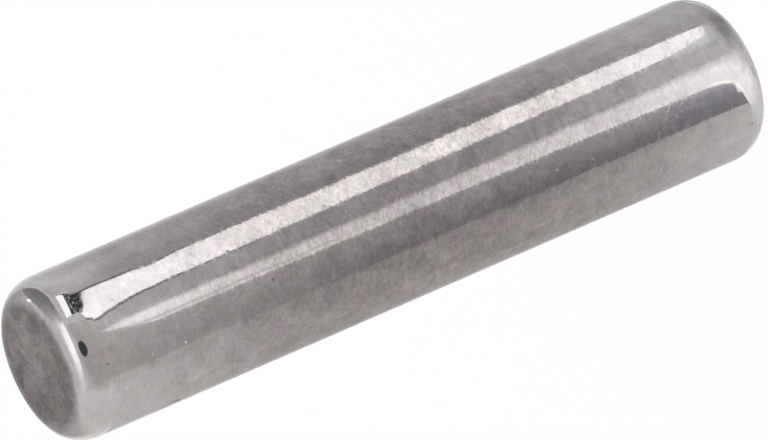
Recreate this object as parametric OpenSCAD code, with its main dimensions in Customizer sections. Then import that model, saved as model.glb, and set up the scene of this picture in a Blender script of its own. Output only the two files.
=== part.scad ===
// Needle roller: a solid pin of hardened bearing steel with flat ends. It rolls on its
// ground side between two raceways, one of a row of like rollers.
// Millimetres. +Z runs along the roller's axis, and the origin is the centre of the lower
// end face, on which the roller stands.

/* [Roller] */
// Diameter of the ground side, on which the roller runs
roller_d = 5; // [2:0.5:8]
// Length over both end faces
roller_l = 23.8; // [7.8:1:49.8]

/* [Corners] */
// How far a rounded corner reaches in from the side, over the end face
corner_radial = 0.62; // [0.2:0.02:0.9]
// How far a rounded corner reaches along the side, from the end face
corner_axial = 0.92; // [0.2:0.02:2]

/* [Hidden] */
steel_grey = [0.60, 0.59, 0.58];
// Facets of a full circle, in a preview
$fn = 96;

roller_r = roller_d / 2;
// The flat that is left on each end, inside the corner
end_face_r = roller_r - corner_radial;
// The length of side that is left between the two corners
side_l = roller_l - 2 * corner_axial;

// The section of the corner at the lower end. Tumbling wears a corner back further along
// the side than over the end face, so it is a quarter of an ellipse. The ellipse touches
// the end face and the side at a common tangent, with no edge left.
module corner_section() {
    intersection() {
        translate([end_face_r, corner_axial])
            scale([corner_radial, corner_axial])
                circle(r = 1);
        square([roller_r, corner_axial]);
    }
}

// Half of the lengthwise section, from the axis out to the side
module roller_section() {
    square([end_face_r, roller_l]);
    translate([0, corner_axial])
        square([roller_r, side_l]);
    corner_section();
    translate([0, roller_l])
        mirror([0, 1])
            corner_section();
}

module roller() {
    color(steel_grey)
        rotate_extrude()
            roller_section();
}

roller();
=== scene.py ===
# %% [markdown]
# # Needle roller
# A needle roller is a solid pin of bearing steel. It is turned or headed from wire, hardened,
# tumbled until its corners are round, and ground on its side. Bright steel has hardly any
# look of its own: the eye reads it by what it mirrors and by the marks that the work left.
# So this lesson has three parts: the shape, the marks, and the small studio round the part.

# %% Load the frame
from math import cos, pi, radians, sin, sqrt

import bpy
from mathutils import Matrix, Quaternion, Vector


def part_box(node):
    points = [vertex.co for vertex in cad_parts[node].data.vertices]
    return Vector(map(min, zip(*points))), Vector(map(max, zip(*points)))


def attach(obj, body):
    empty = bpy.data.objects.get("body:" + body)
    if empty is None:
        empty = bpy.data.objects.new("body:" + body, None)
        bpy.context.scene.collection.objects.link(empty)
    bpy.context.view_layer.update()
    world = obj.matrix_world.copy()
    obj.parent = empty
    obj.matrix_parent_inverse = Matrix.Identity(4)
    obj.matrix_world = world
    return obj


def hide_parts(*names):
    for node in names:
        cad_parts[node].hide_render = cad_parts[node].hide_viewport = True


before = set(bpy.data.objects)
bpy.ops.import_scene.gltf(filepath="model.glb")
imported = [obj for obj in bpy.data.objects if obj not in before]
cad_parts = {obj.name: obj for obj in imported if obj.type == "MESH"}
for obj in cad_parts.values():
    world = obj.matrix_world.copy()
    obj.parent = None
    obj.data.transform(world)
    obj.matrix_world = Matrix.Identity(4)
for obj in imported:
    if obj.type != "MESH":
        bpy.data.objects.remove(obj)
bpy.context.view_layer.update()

low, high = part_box("roller")
print("the frame holds", list(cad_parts), "from", tuple(low), "to", tuple(high))

# %% [markdown]
# ## The sizes
# A roller is fully given by four sizes. Its diameter and its length come from the frame. A
# tumbled corner isn't a round arc: it reaches further along the side than it does across the
# flat end, so it is a quarter of an ellipse with two reaches of its own. Blender works in
# metres, so a millimetre gets a name first.

# %% Sizes
MM = 0.001
side_r = high.x
length = high.z
corner_radial = 0.62 * MM
corner_axial = 0.92 * MM
end_face_r = side_r - corner_radial
print(f"side radius {side_r / MM:.2f} mm, length {length / MM:.1f} mm")
print(f"flat end radius {end_face_r / MM:.2f} mm")

# %% [markdown]
# ## The camera
# A long lens keeps the far end almost as large as the near one, which is how small parts are
# shown in a catalogue. The roller stands on its end, and the camera is rolled well over, so
# it seems to lie across the picture. The camera comes first, because every reflection below
# is placed by following a sight line from it.

# %% Camera
SIGHT_DOWN = radians(25.15)
CAMERA_ROLL = radians(-113.33)
CAMERA_REACH = 427.9 * MM
AIM_OFF_CENTRE = Vector((-0.038, 0.03, 0.06)) * MM
FILM_WIDTH = 36
FOCAL_LENGTH = 695

sight = Vector((0, cos(SIGHT_DOWN), -sin(SIGHT_DOWN)))
camera_place = (low + high) / 2 + AIM_OFF_CENTRE - sight * CAMERA_REACH
bpy.ops.object.camera_add(location=camera_place)
camera = bpy.context.object
camera.rotation_mode = "QUATERNION"
camera.rotation_quaternion = sight.to_track_quat("-Z", "Y") @ Quaternion((0, 0, 1), CAMERA_ROLL)
camera.data.sensor_width = FILM_WIDTH
camera.data.lens = FOCAL_LENGTH
camera.data.clip_start = 0.01
camera.data.clip_end = 10
bpy.context.scene.camera = camera
bpy.context.scene.view_settings.view_transform = "Standard"
print("camera at mm", [round(part / MM, 1) for part in camera_place])

# %% [markdown]
# ## Selecting by place
# Operators act on what is selected. Working by hand, one clicks on points. In code they are
# picked by a test on their place instead, so the same points are found on every run.

# %% Selecting by place


def select_only(thing):
    """Nothing but this object is selected and active."""
    bpy.ops.object.select_all(action="DESELECT")
    thing.select_set(True)
    bpy.context.view_layer.objects.active = thing


def select_vertices(thing, wanted):
    """Selects the vertices whose place passes a test, goes into edit mode and counts them."""
    bpy.ops.object.mode_set(mode="EDIT")
    bpy.ops.mesh.select_mode(type="VERT")
    bpy.ops.mesh.select_all(action="DESELECT")
    bpy.ops.object.mode_set(mode="OBJECT")
    for vertex in thing.data.vertices:
        vertex.select = wanted(vertex.co)
    found = sum(vertex.select for vertex in thing.data.vertices)
    bpy.ops.object.mode_set(mode="EDIT")
    return found

# %% [markdown]
# ## The half section
# A round part could be a cylinder with bevelled rims, but a bevel gives round arcs only. On
# a lathe the outline comes first, and the same holds here. One quarter of a circle is kept
# and stretched into the ellipse of the lower corner, in the plane of X and Z.

# %% One corner
CORNER_STEPS = 24
TINY = 1e-7
PAST_ZERO = 1e-4

bpy.ops.object.select_all(action="DESELECT")
bpy.ops.mesh.primitive_circle_add(vertices=4 * CORNER_STEPS, radius=1, rotation=(pi / 2, 0, 0))
roller = bpy.context.object
roller.name = "ground_roller"
bpy.ops.object.transform_apply(location=True, rotation=True, scale=True)
unwanted = select_vertices(roller, lambda co: co.x < -PAST_ZERO or co.z > PAST_ZERO)
bpy.ops.mesh.delete(type="VERT")
bpy.ops.mesh.select_all(action="SELECT")
bpy.ops.transform.resize(value=(corner_radial, 1, corner_axial), center_override=(0, 0, 0))
bpy.ops.transform.translate(value=(end_face_r, 0, corner_axial))
print(unwanted, "circle points deleted")

# %% [markdown]
# The upper corner is the same corner upside down. The copy is turned over about the middle
# of the length by a scale of -1, and an edge between the two makes the side. The side is
# then cut into short steps, because the small dents and the waviness need points to move.

# %% Both corners, the side and the flat ends
SIDE_STEPS = 220
END_STEPS = 12

bpy.ops.mesh.duplicate()
bpy.ops.transform.resize(value=(1, 1, -1), center_override=(0, 0, length / 2))
bpy.ops.object.mode_set(mode="OBJECT")
side_ends = select_vertices(roller, lambda co: co.x > side_r - TINY)
bpy.ops.mesh.edge_face_add()
bpy.ops.mesh.subdivide(number_cuts=SIDE_STEPS - 1)
bpy.ops.object.mode_set(mode="OBJECT")
print("the side runs between", side_ends, "points")

ring_width = end_face_r / END_STEPS
for face_height in (0, length):
    rim = select_vertices(roller, lambda co: abs(co.z - face_height) < TINY)
    for ring in range(END_STEPS):
        bpy.ops.mesh.extrude_vertices_move(TRANSFORM_OT_translate={"value": (-ring_width, 0, 0)})
    bpy.ops.object.mode_set(mode="OBJECT")
    print("flat end at", round(face_height / MM, 1), "mm grown inwards from", rim, "point")

# %% [markdown]
# ## Turning it
# Spin carries the section once round the axis, as a lathe does. The first and the last
# copy fall on each other, and so do all the points on the axis, so doubles are merged before
# the normals are worked out again.

# %% Spin
ROUND_STEPS = 256

bpy.ops.object.mode_set(mode="EDIT")
bpy.ops.mesh.select_all(action="SELECT")
bpy.ops.mesh.spin(steps=ROUND_STEPS, angle=2 * pi, center=(0, 0, 0), axis=(0, 0, 1))
bpy.ops.mesh.select_all(action="SELECT")
bpy.ops.mesh.remove_doubles(threshold=TINY)
bpy.ops.mesh.normals_make_consistent(inside=False)
bpy.ops.mesh.faces_shade_smooth()
bpy.ops.object.mode_set(mode="OBJECT")
print(len(roller.data.vertices), "points and", len(roller.data.polygons), "faces")

# %% [markdown]
# ## Places on the roller
# The rest of the lesson often names a place on the surface by its height and by its angle
# round the axis. This function gives the point and the direction that the surface faces
# there, round corners included.

# %% A place on the roller


def surface_place(height, turn):
    """Point and outward normal at a height in mm and an angle round the roller in degrees.

    Angle 0 faces the camera, and the angle grows towards +X."""
    rise = height * MM
    out = Vector((sin(radians(turn)), -cos(radians(turn)), 0))
    climb = max(rise - (length - corner_axial), 0) + min(rise - corner_axial, 0)
    climb = climb / corner_axial
    level = sqrt(1 - climb * climb)
    point = out * (end_face_r + corner_radial * level) + Vector((0, 0, rise))
    normal = out * (level / corner_radial) + Vector((0, 0, climb / corner_axial))
    return point, normal.normalized()

# %% [markdown]
# ## Waviness
# A centreless ground side is round to a thousandth of a millimetre, and still its
# reflections swim a little. A Displace modifier moves the skin by about that much. Its mid
# level is 1, so it only ever takes metal away and the roller keeps its gauge size.

# %% Waviness
WAVE_DEPTH = 0.0012 * MM
WAVE_SPACING = 2.2 * MM

waves = bpy.data.textures.new("grinding waves", "CLOUDS")
waves.noise_scale = WAVE_SPACING
waves.noise_depth = 1
select_only(roller)
displace = roller.modifiers.new("waves", "DISPLACE")
displace.texture = waves
displace.texture_coords = "LOCAL"
displace.strength = WAVE_DEPTH
displace.mid_level = 1
bpy.ops.object.modifier_apply(modifier="waves")
deepest = max(side_r - sqrt(vertex.co.x ** 2 + vertex.co.y ** 2) for vertex in roller.data.vertices
              if corner_axial < vertex.co.z < length - corner_axial)
print("the deepest wave on the side is", round(deepest / MM, 5), "mm")

# %% [markdown]
# ## Handling dents
# Rollers knock against each other in the tumbler. Those dents are real hollows, so each is
# pushed in with proportional editing. A few of them also get painted shade in the finish below.

# %% Dents
DENTS = [
    # height in mm, angle in degrees, depth in mm and radius in mm
    (20.72, -77, 0.030, 0.20), (20.45, -75, 0.016, 0.30), (17.9, 21, 0.004, 0.25),
    (15.1, 70, 0.010, 0.30), (13.2, 55, 0.005, 0.35), (20.5, 38, 0.003, 0.90),
    (6.4, 158, 0.008, 0.40), (17.2, -142, 0.010, 0.35), (11.6, 118, 0.006, 0.50),
    (3.1, -112, 0.006, 0.40), (9.3, -165, 0.012, 0.30)]

for height, turn, depth, radius in DENTS:
    place, facing = surface_place(height, turn)
    nearest = min(roller.data.vertices, key=lambda vertex: (vertex.co - place).length)
    nearest_place = nearest.co.copy()
    select_vertices(roller, lambda co: (co - nearest_place).length < TINY)
    bpy.ops.transform.translate(
        value=-facing * depth * MM, use_proportional_edit=True,
        proportional_edit_falloff="SMOOTH", proportional_size=radius * MM)
    bpy.ops.object.mode_set(mode="OBJECT")
    print("dent at", height, turn, "moved", round((nearest.co - nearest_place).length / MM, 4), "mm")

# %% [markdown]
# ## Nodes
# Materials are built from nodes in code. Short helpers keep that readable: one adds a node
# with its settings and inputs, one opens an empty material, one opens a node group with
# named sockets, and the others add the kinds of node that are used most. An effect that the
# side and the ends share is such a group.

# %% Node helpers


def add_node(tree, kind, inputs=None, **settings):
    """One node in a tree: its settings, and each input as a value or as the socket that feeds it."""
    node = tree.nodes.new(kind)
    for name, value in settings.items():
        setattr(node, name, value)
    for key, value in (inputs or {}).items():
        if isinstance(value, bpy.types.NodeSocket):
            tree.links.new(value, node.inputs[key])
        else:
            node.inputs[key].default_value = value
    return node


def new_material(name):
    """An empty material with its output node."""
    material = bpy.data.materials.new(name)
    material.use_nodes = True
    tree = material.node_tree
    tree.nodes.clear()
    return material, tree, add_node(tree, "ShaderNodeOutputMaterial")


def new_group(name, takes, gives):
    """An empty node group: what it takes and gives are names with their socket kinds."""
    tree = bpy.data.node_groups.new(name, "ShaderNodeTree")
    for label, kind in takes.items():
        tree.interface.new_socket(name=label, in_out="INPUT", socket_type="NodeSocket" + kind)
    for label, kind in gives.items():
        tree.interface.new_socket(name=label, in_out="OUTPUT", socket_type="NodeSocket" + kind)
    return tree, add_node(tree, "NodeGroupInput").outputs, add_node(tree, "NodeGroupOutput")


def maths(tree, operation, *values):
    """A Math node on two or three values or sockets."""
    return add_node(tree, "ShaderNodeMath", dict(enumerate(values)), operation=operation).outputs[0]


def vector_maths(tree, operation, *values):
    """A Vector Math node. A length or a distance comes out as a value, and the rest as vectors."""
    node = add_node(tree, "ShaderNodeVectorMath", dict(enumerate(values)), operation=operation)
    return node.outputs["Value" if operation in ("LENGTH", "DISTANCE") else "Vector"]


def noise(tree, place, **inputs):
    """The value of a Noise node, which wanders round 0.5."""
    return add_node(tree, "ShaderNodeTexNoise", {"Vector": place, **inputs}).outputs[0]


def spread(tree, value, start, end, to_start=0.0, to_end=1.0):
    """A Map Range node: a value between start and end becomes one between to_start and to_end."""
    return add_node(tree, "ShaderNodeMapRange", {
        "Value": value, "From Min": start, "From Max": end,
        "To Min": to_start, "To Max": to_end}).outputs["Result"]


def blend_colours(tree, amount, first, second):
    """A Mix node on two colours. Its colour sockets are the seventh, the eighth and the third."""
    return add_node(tree, "ShaderNodeMix", {0: amount, 6: first, 7: second}, data_type="RGBA").outputs[2]

# %% [markdown]
# ### Lay
# A grinding wheel leaves fine parallel marks. Stretched noise makes them: fine one way,
# coarse the other. Turning the pattern about the axis in step with the height winds it into
# a helix, and because the turn is about the roller's own axis there is no seam anywhere.

# %% Group: lay
lay, take, give = new_group(
    "lay", {"Place": "Vector", "Twist": "Float", "Round": "Float", "Along": "Float"}, {"Marks": "Float"})
height = add_node(lay, "ShaderNodeSeparateXYZ", {0: take["Place"]}).outputs["Z"]
wound = add_node(lay, "ShaderNodeVectorRotate", {
    "Vector": take["Place"], "Angle": maths(lay, "MULTIPLY", height, take["Twist"])}, rotation_type="Z_AXIS")
stretch = add_node(lay, "ShaderNodeCombineXYZ", {"X": take["Round"], "Y": take["Round"], "Z": take["Along"]})
stretched = vector_maths(lay, "MULTIPLY", wound.outputs[0], stretch.outputs[0])
lay.links.new(noise(lay, stretched, Scale=1.0, Detail=1.0, Roughness=0.5), give.inputs["Marks"])

# %% [markdown]
# ### Pits
# Carbide grains that pulled out leave tiny pits. Each cell of a Voronoi pattern has a
# random colour. A cell has a pit when the red of that colour is under the wanted share, and
# the green sets how large the pit is. A little noise in the place makes the pits ragged.

# %% Group: pits
HALF = (0.5, 0.5, 0.5)
RAGGED = (0.3, 0.3, 0.3)

pits, take, give = new_group(
    "pits", {"Place": "Vector", "Cells": "Float", "Size": "Float", "Share": "Float"}, {"Pits": "Float"})
wobble = add_node(pits, "ShaderNodeTexNoise", {"Vector": take["Place"], "Scale": 6.0, "Detail": 1.0})
offset = vector_maths(pits, "SUBTRACT", wobble.outputs["Color"], HALF)
ragged = vector_maths(pits, "MULTIPLY_ADD", offset, RAGGED, take["Place"])
cells = add_node(pits, "ShaderNodeTexVoronoi", {"Vector": ragged, "Scale": take["Cells"]})
draws = add_node(pits, "ShaderNodeSeparateColor", {0: cells.outputs["Color"]}).outputs
chosen = maths(pits, "LESS_THAN", draws[0], take["Share"])
dot = spread(pits, cells.outputs["Distance"], maths(pits, "MULTIPLY", draws[1], take["Size"]), 0.0)
pits.links.new(maths(pits, "MULTIPLY", dot, chosen), give.inputs["Pits"])

# %% [markdown]
# ### Wear
# The middle of the side rubs most, so it is duller and more scratched than the ends. The
# group gives 1 in the middle and 0 at both ends, and a slow noise keeps the border uneven.

# %% Group: wear
WORN_HEIGHT = 12.0
WORN_REACH = 11.5
BORDER_DRIFT = 1.0
FALL_OFF = 1.5

wear, take, give = new_group("wear", {"Place": "Vector"}, {"Wear": "Float"})
height = add_node(wear, "ShaderNodeSeparateXYZ", {0: take["Place"]}).outputs["Z"]
drift = noise(wear, take["Place"], Scale=0.5, Detail=2.0)
shift = spread(wear, drift, 0.3, 0.7, -BORDER_DRIFT, BORDER_DRIFT)
from_middle = maths(wear, "SUBTRACT", maths(wear, "ADD", height, shift), WORN_HEIGHT)
away = maths(wear, "ABSOLUTE", maths(wear, "DIVIDE", from_middle, WORN_REACH))
closeness = maths(wear, "SUBTRACT", 1.0, maths(wear, "MULTIPLY", away, away))
rubbed = maths(wear, "POWER", maths(wear, "MAXIMUM", closeness, 0.0), FALL_OFF)
wear.links.new(rubbed, give.inputs["Wear"])

# %% [markdown]
# ### Stain
# Oil and heat leave a faint patchwork of mauve and olive on bare steel. A rough noise, with
# finer noise laid on the coarse, chooses between the two colours.

# %% Group: stain
stain, take, give = new_group(
    "stain", {"Place": "Vector", "Patches": "Float", "First": "Color", "Second": "Color"},
    {"Colour": "Color"})
patch = noise(stain, take["Place"], Scale=take["Patches"], Detail=4.0, Roughness=0.7, Distortion=0.3)
choice = spread(stain, patch, 0.4, 0.6)
stain.links.new(blend_colours(stain, choice, take["First"], take["Second"]), give.inputs["Colour"])

# %% [markdown]
# ### Grain
# Close up, no ground surface is one grey. Speckle of several sizes and the lay of the marks
# make it a little lighter and darker. The group gives a factor round 1.

# %% Group: grain
MARKS_SHARE = 0.25

grain, take, give = new_group(
    "grain", {"Place": "Vector", "Marks": "Float", "Amount": "Float"}, {"Shade": "Float"})
speckle = noise(grain, take["Place"], Scale=1.1, Detail=5.0, Roughness=0.92)
both = maths(grain, "ADD", speckle, maths(grain, "MULTIPLY", take["Marks"], MARKS_SHARE))
average = 0.5 + 0.5 * MARKS_SHARE
around = maths(grain, "MULTIPLY", maths(grain, "SUBTRACT", both, average), take["Amount"])
grain.links.new(maths(grain, "ADD", around, 1.0), give.inputs["Shade"])

# %% [markdown]
# ### Dulled ends
# The flat ends are only tumbled, so they stay dull, and the dullness runs a little way out
# over the round corner before the polish begins. The group gives 1 on the flat and 0 on the
# bright corner, with a soft and uneven border between.

# %% Group: dulled
DULL_TO = 1.76
BRIGHT_FROM = 2.06
FRAY = 0.1

dulled, take, give = new_group("dulled", {"Place": "Vector"}, {"Dull": "Float"})
across = vector_maths(dulled, "MULTIPLY", take["Place"], (1, 1, 0))
uneven = noise(dulled, take["Place"], Scale=2.5, Detail=4.0, Roughness=0.8)
fray = spread(dulled, uneven, 0.3, 0.7, -FRAY, FRAY)
frayed = maths(dulled, "ADD", vector_maths(dulled, "LENGTH", across), fray)
dulled.links.new(spread(dulled, frayed, BRIGHT_FROM, DULL_TO), give.inputs["Dull"])

# %% [markdown]
# ### Lone marks
# A few lone marks go on the roller. The dark ones in the dents and the two large soft ones on
# the far corner are painted shade, and the other dark ones are small nicks and smudges. The
# white ones are painted glints. The group gives 1 in the middle of a small round spot and
# fades to 0 at its rim.

# %% Group: spot
FULL_WITHIN = 0.3

spot, take, give = new_group(
    "spot", {"Place": "Vector", "Centre": "Vector", "Size": "Float"}, {"Spot": "Float"})
away = vector_maths(spot, "DISTANCE", take["Place"], take["Centre"])
share = maths(spot, "DIVIDE", away, take["Size"])
spot.links.new(spread(spot, share, 1.0, FULL_WITHIN), give.inputs["Spot"])
print("node groups:", [group.name for group in bpy.data.node_groups])

# %% [markdown]
# ## Roller steel
# One finish covers the roller. Its base is the grey of bare steel, darker where the side is
# worn and much darker on the dull ends. It takes many masks and factors, so a few more
# helpers come first. Patterns are sized in millimetres, and so are the depths of the bumps.

# %% Finish helpers


def place_in_mm(tree):
    """Object coordinates in millimetres, so that every pattern is sized in real units."""
    place = add_node(tree, "ShaderNodeTexCoord")
    scale = (1 / MM, 1 / MM, 1 / MM)
    mapping = add_node(tree, "ShaderNodeMapping", {"Vector": place.outputs["Object"], "Scale": scale})
    return mapping.outputs[0]


def grouped(tree, group, **inputs):
    """The first output of a node group placed in a tree with its inputs."""
    return add_node(tree, "ShaderNodeGroup", inputs, node_tree=group).outputs[0]


def product(tree, first, *others):
    """Values multiplied with each other."""
    for other in others:
        first = maths(tree, "MULTIPLY", first, other)
    return first


def between(tree, mask, at_zero, at_one):
    """A mask from 0 to 1 becomes a value between two others."""
    return spread(tree, mask, 0.0, 1.0, at_zero, at_one)


def mixed(tree, amount, first, second):
    """The first value where the amount is 0, the second where it is 1."""
    rest = maths(tree, "SUBTRACT", 1.0, amount)
    return maths(tree, "ADD", product(tree, amount, second), product(tree, rest, first))


def shaded(tree, colour, shade):
    """A colour times a factor."""
    grey = add_node(tree, "ShaderNodeCombineColor", {0: shade, 1: shade, 2: shade}).outputs[0]
    return add_node(tree, "ShaderNodeMix", {0: 1.0, 6: colour, 7: grey},
                    data_type="RGBA", blend_type="MULTIPLY").outputs[2]


def bumped(tree, height, depth, under=None):
    """A Bump node: a height between 0 and 1, how deep that is in mm, and the bump below it."""
    inputs = {"Height": height, "Distance": depth * MM}
    if under is not None:
        inputs["Normal"] = under
    return add_node(tree, "ShaderNodeBump", inputs).outputs[0]

# %% [markdown]
# The marks of the side and the corners come first: rings from turning, two crossing lays of
# scratches, pits, and specks, which are smaller pits.

# %% Roller steel: the marks of the side
steel, tree, output = new_material("roller steel")
place = place_in_mm(tree)
worn = grouped(tree, wear, Place=place)
dull = grouped(tree, dulled, Place=place)
rings = grouped(tree, lay, Place=place, Twist=0.0, Round=3.5, Along=12.0)
hatch = grouped(tree, lay, Place=place, Twist=0.42, Round=9.0, Along=4.5)
crossed = grouped(tree, lay, Place=place, Twist=-0.36, Round=8.5, Along=4.5)
scratches = maths(tree, "MAXIMUM", spread(tree, hatch, 0.54, 0.66), spread(tree, crossed, 0.58, 0.7))
pit = grouped(tree, pits, Place=place, Cells=3.0, Size=0.28, Share=0.13)
speck = grouped(tree, pits, Place=place, Cells=7.0, Size=0.32, Share=0.2)

# %% [markdown]
# The worn middle is redder and more patchy than the ends, so there are two pairs of stains,
# and the wear chooses between the pairs. Wear, pits, specks and the scratches of the worn
# part then darken the colour a little.

# %% Roller steel: the colour of the side
FRESH_MAUVE = (0.588, 0.553, 0.568, 1)
FRESH_OLIVE = (0.566, 0.560, 0.555, 1)
WORN_MAUVE = (0.632, 0.549, 0.568, 1)
WORN_OLIVE = (0.594, 0.561, 0.545, 1)

fresh_colour = grouped(tree, stain, Place=place, Patches=1.7, First=FRESH_MAUVE, Second=FRESH_OLIVE)
worn_colour = grouped(tree, stain, Place=place, Patches=1.7, First=WORN_MAUVE, Second=WORN_OLIVE)
side_colour = blend_colours(tree, worn, fresh_colour, worn_colour)
side_grain = grouped(tree, grain, Place=place, Marks=rings, Amount=between(tree, worn, 0.7, 1.55))
streaked = product(tree, scratches, spread(tree, worn, 0.1, 0.8))
side_shade = product(
    tree, between(tree, worn, 1.0, 0.8), side_grain, between(tree, pit, 1.0, 0.74),
    between(tree, speck, 1.0, 0.85), between(tree, streaked, 1.02, 0.9))

# %% [markdown]
# Scratches and pits scatter light, so they raise the roughness: that makes them dark where
# the steel mirrors a lamp and light where it mirrors something dark, as real ones are. The
# upper end is the least handled, so its marks scatter much less.

# %% Roller steel: the roughness of the side
HANDLED_BELOW = 18.0
FRESH_ABOVE = 22.0

haze = product(tree, scratches, spread(tree, worn, 0.05, 0.25), spread(tree, worn, 0.1, 1.0, 0.22, 0.06))
pit_scatter = product(tree, maths(tree, "MAXIMUM", pit, speck), 0.36)
height = add_node(tree, "ShaderNodeSeparateXYZ", {0: place}).outputs["Z"]
handled = spread(tree, height, HANDLED_BELOW, FRESH_ABOVE, 1.0, 0.15)
scatter = product(tree, maths(tree, "MAXIMUM", haze, pit_scatter), handled)
side_rough = maths(tree, "ADD", between(tree, worn, 0.05, 0.1), scatter)

# %% [markdown]
# The flat ends have a blotchy oxide and the faint straight marks of the shear that cut the
# wire. Painted shade makes them lighter round a point off the centre and darker towards the
# rim.

# %% Roller steel: the dull ends
END_MAUVE = (0.334, 0.292, 0.304, 1)
END_OLIVE = (0.314, 0.299, 0.282, 1)
END_LIGHT_CENTRE = (0.45, -0.1, length / MM)

blotch = noise(tree, place, Scale=1.3, Detail=5.0, Roughness=0.88, Distortion=0.4)
end_pit = grouped(tree, pits, Place=place, Cells=7.0, Size=0.34, Share=0.25)
turned = add_node(tree, "ShaderNodeMapping", {
    "Vector": place, "Rotation": (0, 0, radians(-8)), "Scale": (6.0, 1.0, 1.0)}).outputs[0]
shear = noise(tree, turned, Scale=1.0, Detail=3.0)
from_end_light_centre = vector_maths(tree, "DISTANCE", place, END_LIGHT_CENTRE)
end_colour = grouped(tree, stain, Place=place, Patches=1.4, First=END_MAUVE, Second=END_OLIVE)
end_grain = grouped(tree, grain, Place=place, Marks=shear, Amount=1.0)
# Painted shade: lighter round a point off the centre, darker towards the rim.
end_shade = product(
    tree, spread(tree, blotch, 0.25, 0.75, 0.4, 1.6), spread(tree, from_end_light_centre, 0.3, 1.9, 1.14, 0.84),
    between(tree, end_pit, 1.0, 0.72), end_grain)
end_rough = spread(tree, blotch, 0.3, 0.7, 0.38, 0.5)

# %% [markdown]
# Next come the lone marks, each on its own listed spot. Some dark ones are painted shade,
# and the white ones are painted glints.

# %% Roller steel: lone marks
# Dark marks: painted shade in the dents and in two large soft patches on the far corner, and small nicks and
# smudges elsewhere.
DARK_MARKS_AND_DENT_SHADE = [
    # height in mm, angle in degrees, radius in mm and strength
    (20.75, -75, 0.12, 0.8), (20.6, -76.5, 0.12, 0.8), (20.45, -77.5, 0.11, 0.8),
    (18.0, 21.5, 0.07, 0.7), (15.1, 70, 0.1, 0.6), (0.74, -43, 0.08, 0.4), (0.4, -51, 0.09, 0.4),
    (0.58, 27, 0.3, 0.22), (0.5, 38, 0.34, 0.3), (22.85, -16, 0.06, 0.5), (21.9, 22, 0.05, 0.5),
    (17.1, -8, 0.08, 0.4), (23.75, -142, 0.09, 0.6), (23.74, -128, 0.07, 0.5),
    (11.3, 43, 0.14, 0.3), (9.2, 66, 0.2, 0.25), (6.1, 58, 0.22, 0.25), (12.2, -34, 0.16, 0.25)]
# Painted glints: white specks where the steel seems to catch the light.
PAINTED_GLINTS = [
    (22.45, -37.5, 0.05, 0.8), (20.3, -23.5, 0.05, 0.9), (21.4, -22, 0.045, 0.7),
    (20.7, -3, 0.04, 0.8), (13.2, 55, 0.1, 0.5), (6.2, -19, 0.05, 0.5), (3.9, -21, 0.05, 0.5),
    (7.4, -16, 0.07, 0.5)]


def marked(tree, place, marks):
    """How strong the lone marks of a list are at a place, from 0 to 1."""
    total = 0.0
    for height, turn, size, strength in marks:
        centre = surface_place(height, turn)[0] / MM
        here = grouped(tree, spot, Place=place, Centre=tuple(centre), Size=size)
        total = maths(tree, "MAXIMUM", total, product(tree, here, strength))
    return total


# Masks of the dark marks, which are partly painted shade, and of the painted glints.
dark = marked(tree, place, DARK_MARKS_AND_DENT_SHADE)
bright = marked(tree, place, PAINTED_GLINTS)
print(len(DARK_MARKS_AND_DENT_SHADE), "dark marks and", len(PAINTED_GLINTS), "bright ones")

# %% [markdown]
# The side and the ends are mixed by the dulled group, and the lone marks go on top. The
# bumps are laid one on the other: a broad ripple and a finer one, the rings, the two lays of
# scratches, the pits, and the oxide and the shear marks of the ends. Bumps make a reflection
# swim, and near its ends the side mirrors sharply, so its bumps fade out towards them.

# %% Roller steel: together
# Near black for the dark marks, which are partly painted shade.
MARK_AND_SHADE_BLACK = (0.08, 0.07, 0.07, 1)
# White and rough for the painted glints.
PAINTED_GLINT_WHITE = (0.9, 0.89, 0.88, 1)
PAINTED_GLINT_ROUGH = 0.7

side_look = shaded(tree, side_colour, side_shade)
end_look = shaded(tree, end_colour, end_shade)
colour = blend_colours(tree, dull, side_look, end_look)
# The dark marks, with their painted shade in the dents and on the far corner.
colour = blend_colours(tree, dark, colour, MARK_AND_SHADE_BLACK)
# The painted glints go on last.
colour = blend_colours(tree, bright, colour, PAINTED_GLINT_WHITE)
rough = mixed(tree, dull, side_rough, end_rough)
rough = maths(tree, "MAXIMUM", rough, product(tree, bright, PAINTED_GLINT_ROUGH))
ripple = noise(tree, place, Scale=1.6, Detail=1.0)
peel = noise(tree, place, Scale=4.0, Detail=2.0)
hollow = product(tree, pit, spread(tree, worn, 0.0, 0.4, 0.15, 1.0))
layers = [
    # a pattern of heights and its depth in mm
    (product(tree, ripple, spread(tree, worn, 0.0, 0.3, 0.5, 1.0)), 0.0025),
    (product(tree, peel, worn), 0.0035),
    (product(tree, rings, spread(tree, worn, 0.0, 0.5, 0.04, 1.0)), 0.0006),
    (product(tree, hatch, worn), 0.0014),
    (product(tree, crossed, worn), 0.001),
    (maths(tree, "SUBTRACT", 1.0, hollow), 0.003),
    (product(tree, blotch, dull), 0.008),
    (product(tree, shear, dull), 0.001)]
skin = None
for pattern, depth in layers:
    skin = bumped(tree, pattern, depth, skin)
shader = add_node(tree, "ShaderNodeBsdfPrincipled", {
    "Base Color": colour, "Metallic": 1.0, "Roughness": rough, "Normal": skin})
tree.links.new(shader.outputs["BSDF"], output.inputs["Surface"])
roller.data.materials.append(steel)
print("roller steel has", len(tree.nodes), "nodes")

# %% [markdown]
# ## The room
# The floor is a plain pale sheet. A soft white world fills the shadows, and a sun shines
# along the line of sight, so that what shadow there is falls behind the roller. The floor
# and the sun are kept out of the reflections, because the cards below stand in for all that
# the steel sees.

# %% World and floor
FLOOR_WIDTH = 0.8
WORLD_SHARE = 0.35
SUN_WIDTH = radians(0.5)
WHITE = (1, 1, 1, 1)

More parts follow.
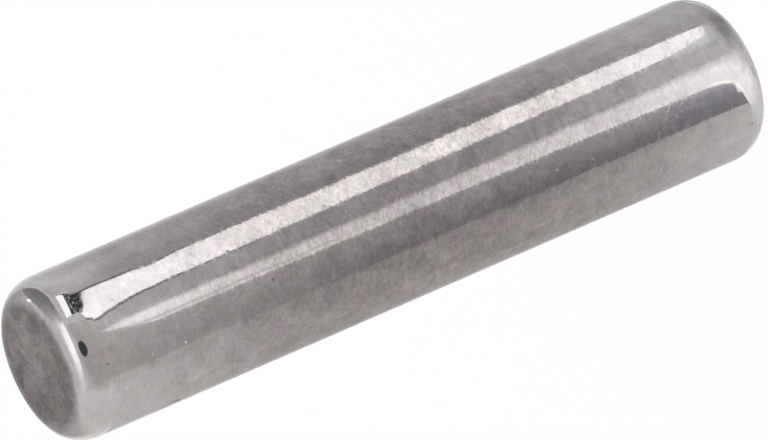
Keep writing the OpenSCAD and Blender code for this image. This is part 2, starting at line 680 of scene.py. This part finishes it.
world = bpy.data.worlds.new("white room")
world.use_nodes = True
world.node_tree.nodes["Background"].inputs["Color"].default_value = WHITE
world.node_tree.nodes["Background"].inputs["Strength"].default_value = WORLD_SHARE
bpy.context.scene.world = world

bpy.ops.object.select_all(action="DESELECT")
bpy.ops.object.light_add(type="SUN")
sun = bpy.context.object
sun.name = "sight_line_sun"
sun.rotation_mode = "QUATERNION"
sun.rotation_quaternion = sight.to_track_quat("-Z", "Y")
sun.data.energy = (1 - WORLD_SHARE) * pi / sin(SIGHT_DOWN)
sun.data.angle = SUN_WIDTH
sun.visible_glossy = False

bpy.ops.object.select_all(action="DESELECT")
bpy.ops.mesh.primitive_plane_add(size=FLOOR_WIDTH, location=(0, 0, 0))
floor = bpy.context.object
floor.name = "bench_floor"
floor_paint, tree, output = new_material("white floor")
paint = add_node(tree, "ShaderNodeBsdfDiffuse", {"Color": WHITE})
tree.links.new(paint.outputs["BSDF"], output.inputs["Surface"])
floor.data.materials.append(floor_paint)
floor.visible_glossy = False
floor.visible_shadow = False
sun_on_floor = sun.data.energy * sin(SIGHT_DOWN) / pi
print("the world and the sun light the floor at", round(WORLD_SHARE + sun_on_floor, 3))

# %% [markdown]
# ## Cards
# A product photographer lights bright metal with cards: lit ones for the streaks, grey and
# black ones for the tones between. Here a card is hung along sight lines. Each line leaves
# the camera, bounces off a chosen place on the roller and goes on for a short reach, and a
# corner of the card sits at its end. So a streak lands just where it is wanted, and it moves
# with the view as a real reflection does.

# %% Sight lines


def mirrored(height, turn):
    """A sight line from the camera that bounces off the roller: where it leaves, and which way."""
    point, normal = surface_place(height, turn)
    return point, (point - camera_place).normalized().reflect(normal)


def aimed(azimuth, climb):
    """A line from the roller's top at an azimuth, 0 towards the camera, and an elevation."""
    level = cos(radians(climb))
    turn = radians(azimuth)
    way = Vector((sin(turn) * level, -cos(turn) * level, sin(radians(climb))))
    return Vector((0, 0, length)), way


start, way = mirrored(length / 2 / MM, 0)
print("mid length, a sight line leaves at", round(start.z / MM, 1), "mm along", [round(v, 2) for v in way])

# %% [markdown]
# A card is written row by row, and each corner of it has a light level. Bright things in a
# room are hardly ever pure grey, so a row can also have a tint, a factor on red, green and
# blue that stays close to 1.

# %% Rows of a card
PLAIN = (1, 1, 1)
COOL = (1.015, 1, 1.03)
WARM = (1.035, 1, 0.985)
OLIVE = (1.05, 1, 0.97)
BLUE = (1.03, 1, 1.08)
MAUVE = (1.06, 1, 1.03)
LILAC = (1.02, 1, 1.025)


def lit(level, tint):
    """A light level in a tint."""
    return [level * part for part in tint] + [1]


def side_row(height, *stops, tint=PLAIN):
    """A row of a card: places at one height on the roller, each an angle and a light level."""
    return [(mirrored(height, turn), lit(level, tint)) for turn, level in stops]


def free_row(level, *places, tint=PLAIN):
    """A row of one light level, its places each a height and an angle."""
    return [(mirrored(height, turn), lit(level, tint)) for height, turn in places]


def room_row(*stops, tint=PLAIN):
    """A row of a far card: each stop is an azimuth, an elevation and a light level."""
    return [(aimed(azimuth, climb), lit(level, tint)) for azimuth, climb, level in stops]


def level_row(climb, *stops, tint=PLAIN):
    """A row of a far card at one elevation: each stop is an azimuth and a light level."""
    return [(aimed(azimuth, climb), lit(level, tint)) for azimuth, level in stops]

# %% [markdown]
# The light level of each corner is kept in a colour attribute of the card's mesh, and it is
# blended from corner to corner. The card's shader is an emission, so the lamps of the room
# don't change what the steel sees.

# %% Hanging a card


def glow_with(tree, output, **inputs):
    """The material gives off light with a colour, a strength or both."""
    glow = add_node(tree, "ShaderNodeEmission", inputs)
    tree.links.new(glow.outputs["Emission"], output.inputs["Surface"])


card_light, tree, output = new_material("card light")
light = add_node(tree, "ShaderNodeAttribute", attribute_name="light")
glow_with(tree, output, Color=light.outputs["Color"])


def only_in_reflections(card):
    """The card is seen in metal and nowhere else, and it throws no light and no shadow."""
    card.visible_camera = False
    card.visible_diffuse = False
    card.visible_transmission = False
    card.visible_volume_scatter = False
    card.visible_shadow = False


def hang_card(name, rows, reach, material=card_light):
    """A card whose corners lie along sight lines, a reach in mm away, each with its own light."""
    across, down = len(rows[0]), len(rows)
    bpy.ops.object.select_all(action="DESELECT")
    bpy.ops.mesh.primitive_grid_add(x_subdivisions=across - 1, y_subdivisions=down - 1)
    card = bpy.context.object
    card.name = name
    glows = card.data.attributes.new("light", "FLOAT_COLOR", "POINT")
    corners = [corner for row in rows for corner in row]
    for vertex, ((start, way), colour) in zip(card.data.vertices, corners):
        vertex.co = start + way * (reach * MM)
        glows.data[vertex.index].color = colour
    card.data.materials.append(material)
    only_in_reflections(card)
    print(name, "has", down, "rows of", across, "corners")

# %% [markdown]
# ### The grey screens
# Everything that is not a streak is a soft grey. It is lightest where the steel is seen at a
# glance, towards the outlines, and it dips towards the middle of the length.

# %% Screens
SIDE_HEIGHTS = (22.9, 21, 18.5, 15, 12, 8, 4.5, 2, 0.9, 0.74)
MIDDLE_DIP = 0.36


def hang_screen(name, stops, shares, reach, tint):
    """A card along the whole side: stops are angles and levels, shares how bright each height is."""
    rows = []
    for height, share in zip(SIDE_HEIGHTS, shares):
        away = (height - WORN_HEIGHT) / WORN_REACH
        dip = MIDDLE_DIP * max(1 - away * away, 0)
        levels = [(turn, level * share * (1 - dip * cos(radians(turn)))) for turn, level in stops]
        rows.append(side_row(height, *levels, tint=tint))
    hang_card(name, rows, reach)


hang_screen(
    "upper_screen",
    [(10, 0.76), (22, 0.75), (38, 0.57), (46, 0.60), (54, 0.68), (70, 0.61), (80, 0.74), (89, 1.0)],
    (1.03, 0.92, 0.96, 0.95, 0.96, 0.96, 1.02, 1.0, 0.94, 0.84), reach=17, tint=(1.015, 1, 1.025))
hang_screen(
    "lower_screen",
    [(-89, 1.0), (-84, 0.75), (-78, 0.60), (-65, 0.70), (-50, 0.76), (-36, 0.75),
     (-26, 0.66), (-8, 0.62), (2, 0.70), (10, 0.76)],
    (1.06, 1.0, 0.94, 0.9, 0.95, 0.91, 0.88, 0.97, 1.0, 1.0), reach=17, tint=(1.025, 1, 0.985))

# %% [markdown]
# Three smaller cards hang in front of the screens: a glow and a shade at the upper end, and
# a dark board along the whole side. One long edge of the board is sharp, and at the other it
# grows lighter until it meets the screen.

# %% Glow, shade and dark board
hang_card("near_glow", [
    side_row(22.9, (38.5, 0.6), (46, 0.68), (54, 0.74), (62, 0.66), tint=COOL),
    side_row(22.3, (38.5, 0.6), (46, 0.68), (54, 0.72), (62, 0.64), tint=COOL),
    side_row(21.6, (38.5, 0.5), (46, 0.54), (54, 0.62), (62, 0.60), tint=COOL)], reach=16)
hang_card("near_shade", [
    side_row(22.95, (-6, 0.54), (2, 0.53), (10, 0.56), (17, 0.64), tint=WARM),
    side_row(22.6, (-6, 0.56), (2, 0.60), (10, 0.64), (17, 0.72), tint=WARM),
    side_row(22.2, (-6, 0.58), (2, 0.68), (10, 0.76), (17, 0.74), tint=WARM)], reach=15)
hang_card("dark_board", [
    side_row(22.9, (-29, 0.76), (-25, 0.53), (-18, 0.53), (-9, 0.55), (-1, 0.62), tint=OLIVE),
    side_row(20, (-27, 0.64), (-25, 0.45), (-18, 0.44), (-9, 0.50), (-1, 0.58), tint=(1.045, 1, 0.99)),
    side_row(14, (-26, 0.40), (-25.5, 0.29), (-18, 0.35), (-9, 0.45), (-1, 0.53), tint=(1.02, 1, 1)),
    side_row(7, (-25.6, 0.25), (-25, 0.25), (-18, 0.32), (-9, 0.44), (-1, 0.53), tint=(1.02, 1, 1.03)),
    side_row(3, (-25.6, 0.24), (-25, 0.25), (-18, 0.30), (-9, 0.46), (-3, 0.58), tint=(1.02, 1, 1.09)),
    side_row(1.2, (-25.6, 0.30), (-24, 0.28), (-18, 0.31), (-12, 0.42), (-6, 0.7), tint=BLUE),
    side_row(0.95, (-26, 0.35), (-24, 0.30), (-20, 0.33), (-15, 0.42), (-9, 0.6), tint=COOL),
    side_row(0.8, (-26.5, 0.26), (-25, 0.24), (-22, 0.32), (-18, 0.4), (-14, 0.5), tint=COOL)], reach=14)

# %% [markdown]
# ### The lit strip
# A long lit strip makes the main streak. Its outline is a list of rows, each with four
# places on the roller: the two edges, and two between that let a row be slanted.

# %% The outline of the strip


def at_height(height, *turns):
    """Places at one height on the roller."""
    return [(height, turn) for turn in turns]


STRIP_OUTLINE = [
    # each place is a height in mm and an angle in degrees
    [(22.93, 22.9), (22.87, 26), (22.78, 30), (22.66, 36.6)],
    [(22.94, 20.5), (22.8, 24), (22.7, 30), (22.56, 36.8)],
    [(22.91, 18.2), (22.74, 23), (22.62, 30), (22.48, 36.9)],
    [(22.87, 16.6), (22.66, 23), (22.54, 30), (22.38, 36.9)],
    [(22.78, 15.0), (22.55, 22.5), (22.44, 30), (22.28, 36.9)],
    [(22.6, 14.7), (22.42, 22), (22.28, 30), (22.1, 36.9)],
    [(22.36, 16.0), (22.25, 23), (22.1, 30), (21.9, 36.8)],
    [(21.9, 17.8), (21.8, 24), (21.7, 30), (21.6, 36.6)],
    at_height(21.2, 19.8, 25, 31, 36.6),
    at_height(20.7, 20.2, 25, 31, 36.5),
    at_height(20.4, 20.4, 25, 30, 34.9),
    at_height(20.0, 20.6, 25, 30, 35.2),
    at_height(19.2, 20.6, 26, 31, 36.6),
    at_height(16, 21.0, 27, 32, 36.8),
    at_height(12, 22.3, 28, 32, 36.5),
    at_height(8, 23.2, 28, 32, 36.9),
    at_height(4, 23.7, 28, 33, 37.0),
    [(2.6, 24.6), (2.5, 29), (2.4, 33), (2.3, 37.2)],
    [(2.0, 26.2), (1.9, 30), (1.7, 34), (1.6, 37.2)],
    [(1.62, 28.0), (1.5, 31), (1.35, 34.5), (1.25, 37.0)],
    [(1.22, 28.6), (1.14, 31), (1.07, 34), (1.02, 36.4)]]

# %% [markdown]
# The strip has a dark frame that narrows away from the upper end. The same outline makes
# both: the frame's card hangs a little further out, and its edge places are moved apart.

# %% The strip and its frame
STRIP_LIGHT = 1.56
CREAM = (0.985, 1, 0.975)
CREAM_FROM, CREAM_TO = 6, 18
FRAME_LIGHT = 0.24
FRAME_EDGE = 1.7
FRAME_FROM, FRAME_FULL = 15, 21
FRAME_ROWS = 14

strip_rows = []
for places in STRIP_OUTLINE:
    mid_length = CREAM_FROM < places[0][0] < CREAM_TO
    strip_rows.append(free_row(STRIP_LIGHT, *places, tint=CREAM if mid_length else PLAIN))
hang_card("strip_light", strip_rows, reach=12)
frame_rows = []
for first, *middle, last in STRIP_OUTLINE[:FRAME_ROWS]:
    edge = FRAME_EDGE * min((first[0] - FRAME_FROM) / (FRAME_FULL - FRAME_FROM), 1)
    widened = [(first[0], first[1] - edge), *middle, (last[0], last[1] + edge)]
    frame_rows.append(free_row(FRAME_LIGHT, *widened, tint=MAUVE))
hang_card("strip_frame", frame_rows, reach=12.4)

# %% [markdown]
# Over the lower corner the strip's light spreads into a soft haze. A second, fainter strip
# runs beside the first one, and the thin gap in it is where its two lamps meet. Low down, a
# bright line marks the edge of the dark board.

# %% Haze, second strip and board edge
hang_card("strip_haze", [
    side_row(2.8, (21.5, 0.66), (23, 0.72), (30, 0.8), (36, 0.8), tint=(0.99, 1, 1)),
    side_row(1.9, (20.5, 0.68), (23, 0.95), (30, 1.1), (36, 1.0), tint=(0.98, 1, 0.99)),
    side_row(1.3, (20.5, 0.68), (23, 0.85), (30, 1.1), (37, 0.9), tint=(0.98, 1, 1.01)),
    side_row(1.0, (20.5, 0.66), (23, 0.74), (30, 0.82), (37, 0.62)),
    side_row(0.84, (20.5, 0.62), (23, 0.62), (30, 0.62), (37, 0.52))], reach=12.2)
hang_card("second_strip", [
    side_row(22.6, (4.5, 0.9), (5, 0.9), (5.5, 0.9), (6, 0.9), tint=MAUVE),
    side_row(22, (1.5, 1.05), (3, 1.4), (5.5, 1.3), (8, 0.8), tint=(1.01, 1, 1)),
    side_row(21, (-2.4, 1.03), (2.5, 1.28), (5.5, 1.28), (8, 0.66), tint=(1.01, 1, 1)),
    side_row(17, (-2.4, 1.2), (2, 1.13), (5, 1.12), (7.7, 0.56), tint=(1.015, 1, 1)),
    side_row(12, (-3.1, 1.2), (1, 1.06), (5, 1.05), (7.8, 0.53), tint=(0.99, 1, 1)),
    side_row(8, (-3.8, 1.3), (0, 1.15), (5, 1.12), (8.0, 0.58)),
    side_row(4, (-4.8, 1.35), (-2, 1.2), (5.5, 1.25), (8.5, 0.66)),
    side_row(2, (-5.6, 1.32), (-3, 1.3), (4.5, 1.38), (10, 0.76), tint=LILAC),
    side_row(1.5, (-7.0, 1.35), (-5, 1.35), (4, 1.38), (10.5, 0.76), tint=LILAC),
    side_row(1.15, (-8.8, 1.35), (-6, 1.35), (4, 1.38), (10.5, 0.78), tint=LILAC),
    side_row(1.0, (-12, 1.35), (-8, 1.35), (3, 1.38), (10.5, 0.8), tint=LILAC),
    side_row(0.93, (-16, 1.32), (-11, 1.35), (2, 1.4), (10.5, 0.8), tint=LILAC),
    side_row(0.86, (-21, 1.25), (-15, 1.35), (0, 1.4), (10.5, 0.78), tint=LILAC),
    side_row(0.8, (-25.5, 1.1), (-18, 1.3), (-1, 1.42), (10, 0.76), tint=LILAC),
    side_row(0.7, (-28, 1.05), (-20, 1.3), (-2, 1.42), (9, 0.72), tint=LILAC)], reach=12)
hang_card("strip_gap", [
    side_row(21.8, (-0.3, 0.75), (0.6, 0.75)),
    side_row(17, (-0.6, 0.72), (0.5, 0.72)),
    side_row(13, (-0.6, 0.9), (0, 0.9))], reach=11.8)
hang_card("board_edge", [
    free_row(1.45, (1.9, -3.6), (1.84, -4.6), tint=WARM),
    free_row(1.7, (1.72, -4.0), (1.68, -5.7), tint=(1.03, 1, 0.93)),
    free_row(1.75, (1.3, -5.6), (1.24, -7.3), tint=(1.03, 1, 0.94)),
    free_row(1.75, (1.08, -7.5), (1.0, -9.2), tint=(1.03, 1, 0.96)),
    free_row(1.75, (0.92, -13.2), (0.88, -14.6)),
    free_row(1.75, (0.84, -18.8), (0.81, -20)),
    free_row(1.75, (0.76, -24.6), (0.74, -25.8))], reach=11.6)

# %% [markdown]
# ### What the near corner mirrors
# A round corner squeezes the whole room into a millimetre: a lit window with a black bar
# under it, the lens, a dark flag and the bright ceiling panel. The far things hang along
# lines from the roller's top, and the foot of the bar along sight lines.

# %% The lit window and its bar
WINDOW_LIGHT = 1.6
BAR_LIGHT = 0.1


def bar_iron():
    """A nearly black bar with a coarse grit, sized by the direction from the roller's top."""
    material, tree, output = new_material("bar iron")
    place = add_node(tree, "ShaderNodeTexCoord").outputs["Object"]
    outward = vector_maths(tree, "SUBTRACT", place, (0, 0, length))
    grit = noise(tree, vector_maths(tree, "NORMALIZE", outward), Scale=14.0, Detail=1.0)
    glow_with(tree, output, Strength=spread(tree, grit, 0.48, 0.7, 0.06, 0.55))
    return material


black_iron = bar_iron()
hang_card("window", [
    room_row((46, 17, WINDOW_LIGHT), (80.5, 0.5, WINDOW_LIGHT)),
    room_row((45, 2.2, WINDOW_LIGHT), (78, -12, WINDOW_LIGHT))], reach=120)
hang_card("window_bar", [
    room_row((45.5, 4, BAR_LIGHT), (80, -9, BAR_LIGHT)),
    level_row(-20, (45, BAR_LIGHT), (79.5, BAR_LIGHT))], reach=122, material=black_iron)
hang_card("bar_foot", [
    free_row(BAR_LIGHT, (23.02, 23.4), (23.03, 28.5), (23.02, 34), (23.0, 40.6)),
    free_row(BAR_LIGHT, (22.96, 22.8), (22.93, 28), (22.87, 33.5), (22.8, 39.4)),
    free_row(BAR_LIGHT, (22.9, 22.3), (22.83, 27.5), (22.69, 33), (22.56, 37.6))],
    reach=11.9, material=black_iron)

# %% [markdown]
# Round the window the room is uneven. The photographer stands as a darker shape before the
# roller, a dark flag hangs at the right, and a panel overhead is brightest towards the
# front. A grey collar closes the room under the flag, and one small lamp is very bright.

# %% The room round the corner
hang_card("photographer", [
    room_row((-62, 44, 0.86), (-45, 44, 0.80), (-15, 44, 0.66), (12, 43, 0.64), (34, 39, 0.60),
             tint=MAUVE),
    room_row((-62, 37, 0.78), (-45, 37, 0.70), (-15, 37, 0.60), (12, 36, 0.72), (34, 35, 0.66),
             tint=MAUVE),
    room_row((-62, 28, 0.74), (-45, 28, 0.58), (-15, 30, 0.50), (12, 28, 0.48), (38, 30, 0.52),
             tint=MAUVE),
    room_row((-62, 15, 0.74), (-48, 15, 0.54), (-15, 18, 0.45), (12, 18, 0.46), (38, 22, 0.58),
             tint=WARM),
    level_row(0, (-62, 0.76), (-49, 0.54), (-15, 0.51), (12, 0.54), (34, 0.64), tint=OLIVE),
    level_row(-25, (-61, 0.76), (-50, 0.54), (-15, 0.53), (12, 0.55), (34, 0.64), tint=OLIVE)], reach=165)
hang_card("top_panel", [
    level_row(88, (-100, 0.60), (-75, 0.60), (-42, 0.60), (-15, 0.60), (20, 0.58), (38, 0.58),
              (52, 0.60), (68, 0.62), tint=COOL),
    room_row((-112, 76, 0.76), (-75, 76, 0.80), (-42, 76, 0.82), (-15, 76, 0.95), (20, 77, 0.98),
             (38, 77, 0.92), (53, 76, 0.82), (72, 75, 0.78), tint=COOL),
    room_row((-108, 64, 0.78), (-75, 64, 0.92), (-42, 66, 1.15), (-15, 66, 1.48), (20, 64, 1.58),
             (38, 62, 1.45), (54, 58, 1.1), (70, 60, 0.80), tint=LILAC),
    room_row((-104, 54, 0.84), (-75, 56, 1.0), (-42, 56, 1.25), (-15, 55, 1.52), (20, 53, 1.6),
             (38, 48, 1.55), (52, 45, 1.3), (66, 50, 0.80), tint=LILAC),
    room_row((-100, 42, 0.84), (-72, 43, 0.86), (-42, 46, 0.92), (-15, 47, 1.35), (20, 44.5, 1.6),
             (38, 39.5, 1.55), (51, 35.5, 1.35), (58, 39, 0.95), tint=LILAC)], reach=150)
hang_card("dark_flag", [
    room_row((51, 46, 1.0), (62, 51, 0.86), (78, 57, 0.66), (95, 59, 0.60), (112, 58, 0.56),
             (124, 52, 0.56), tint=COOL),
    room_row((51, 38, 0.74), (62, 39, 0.62), (76, 40, 0.46), (92, 41, 0.38), (110, 42, 0.36),
             (128, 40, 0.42), tint=COOL),
    room_row((51, 34.5, 0.62), (61, 32, 0.56), (75, 29, 0.33), (92, 26, 0.30), (112, 24, 0.28),
             (133, 24, 0.36), tint=BLUE),
    room_row((51, 33, 0.56), (61, 27.5, 0.50), (73, 20.5, 0.27), (89, 12, 0.28), (112, 5, 0.26),
             (138, 4.5, 0.30), tint=BLUE)], reach=148)
hang_card("end_collar", [
    room_row((83, 6, 0.56), (96, 5, 0.58), (112, 2, 0.68), (128, 2, 0.70), (144, 3, 0.74),
             (162, 3, 0.66), tint=COOL),
    level_row(-8, (83, 0.62), (96, 0.65), (112, 0.78), (128, 0.73), (144, 0.76), (162, 0.8),
              tint=COOL),
    level_row(-25, (83, 0.62), (96, 0.66), (112, 0.76), (128, 0.66), (144, 0.74), (162, 0.9),
              tint=COOL)], reach=146)
hang_card("spot_lamp", [
    room_row((130, 36, 2.4), (141, 36.5, 2.4)),
    room_row((130, 31.5, 2.4), (141, 32, 2.4))], reach=140)

# %% [markdown]
# Under the far corner a bounce card lights the steel from below, and beside it the table
# falls into shade. Behind the roller a pale backdrop comes down to the table.

# %% The room under the far corner
hang_card("bounce_card", [
    level_row(-24, (-140, 0.72), (-100, 0.70), (-75, 0.76), (-50, 0.84), (-30, 1.36), (3, 1.42),
              (22, 0.68), tint=LILAC),
    level_row(-45, (-140, 0.73), (-100, 0.76), (-75, 0.84), (-48, 1.2), (-25, 1.38), (2, 1.45),
              (28, 0.62), tint=LILAC),
    level_row(-62, (-140, 0.88), (-100, 0.92), (-75, 1.02), (-48, 1.25), (-25, 1.38), (0, 1.05),
              (28, 0.72), tint=LILAC),
    level_row(-80, (-140, 0.90), (-100, 1.0), (-75, 1.08), (-48, 1.1), (-25, 1.06), (0, 0.95),
              (28, 0.80), tint=LILAC)], reach=130)
hang_card("shaded_table", [
    level_row(-28, (28, 0.60), (62, 0.60), (100, 0.60), (138, 0.60), tint=COOL),
    level_row(-46, (28, 0.56), (62, 0.42), (100, 0.49), (138, 0.56), tint=COOL),
    level_row(-64, (28, 0.70), (62, 0.46), (100, 0.40), (138, 0.43), tint=COOL),
    level_row(-82, (28, 0.80), (62, 0.66), (100, 0.62), (138, 0.62), tint=COOL)], reach=132)
hang_card("white_backdrop", [
    level_row(-24, (150, 0.5), (166, 0.7), (184, 0.72)),
    level_row(-50, (150, 0.5), (166, 0.68), (186, 0.72)),
    level_row(-72, (146, 0.6), (166, 0.74), (190, 0.8))], reach=133)

# %% [markdown]
# The lens of the camera is in the room too. It is a nearly black disc that faces the
# roller's top, and it shows as a small dark oval in the corner.

# %% The lens
LENS_RADIUS = 31 * MM
LENS_NARROWING = 0.9
LENS_REACH = 150 * MM
LENS_LIGHT = 0.07

bpy.ops.object.select_all(action="DESELECT")
bpy.ops.mesh.primitive_circle_add(vertices=48, radius=LENS_RADIUS, fill_type="NGON", location=(0, 0, 0))
lens = bpy.context.object
lens.name = "lens_front"
bpy.ops.transform.resize(value=(LENS_NARROWING, 1, 1))
bpy.ops.object.transform_apply(location=False, rotation=False, scale=True)
start, way = aimed(-0.5, 21.5)
lens.location = start + way * LENS_REACH
lens.rotation_mode = "QUATERNION"
lens.rotation_quaternion = way.to_track_quat("Z", "Y")
glass, tree, output = new_material("lens front")
glow_with(tree, output, Strength=LENS_LIGHT)
lens.data.materials.append(glass)
only_in_reflections(lens)
print("the lens hangs at mm", [round(part / MM) for part in lens.location])

# %% [markdown]
# ### The tent
# A pale tent closes the room behind all the cards. Towards the camera it is an even light
# grey, warm on one side and cool on the other. Behind the roller it is darker high up and
# lighter low down.

# %% Tent
TENT_RADIUS = 350 * MM
FRONT_LEFT, FRONT_RIGHT = 0.78, 0.74
BACK_TOP, BACK_FOOT = 0.5, 0.9

bpy.ops.object.select_all(action="DESELECT")
bpy.ops.mesh.primitive_uv_sphere_add(
    segments=64, ring_count=32, radius=TENT_RADIUS, location=(0, 0, 0))
tent = bpy.context.object
tent.name = "light_tent"
tent_cloth, tree, output = new_material("tent cloth")
place = add_node(tree, "ShaderNodeTexCoord")
split = add_node(tree, "ShaderNodeSeparateXYZ", {"Vector": place.outputs["Object"]})
behind = spread(tree, split.outputs["Y"], 0.17, 0.31)
below = spread(tree, split.outputs["Z"], 0.06, -0.03)
rightward = spread(tree, split.outputs["X"], -0.1, 0.1)
front = between(tree, rightward, FRONT_LEFT, FRONT_RIGHT)
back = between(tree, below, BACK_TOP, BACK_FOOT)
level = mixed(tree, behind, front, back)
cloth = blend_colours(tree, rightward, (*WARM, 1), (*COOL, 1))
glow_with(tree, output, Color=cloth, Strength=level)
tent.data.materials.append(tent_cloth)
only_in_reflections(tent)
print("the tent is", round(2 * TENT_RADIUS / MM), "mm across")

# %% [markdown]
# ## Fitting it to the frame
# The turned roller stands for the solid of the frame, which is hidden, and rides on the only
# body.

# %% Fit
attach(roller, "root")
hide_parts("roller")
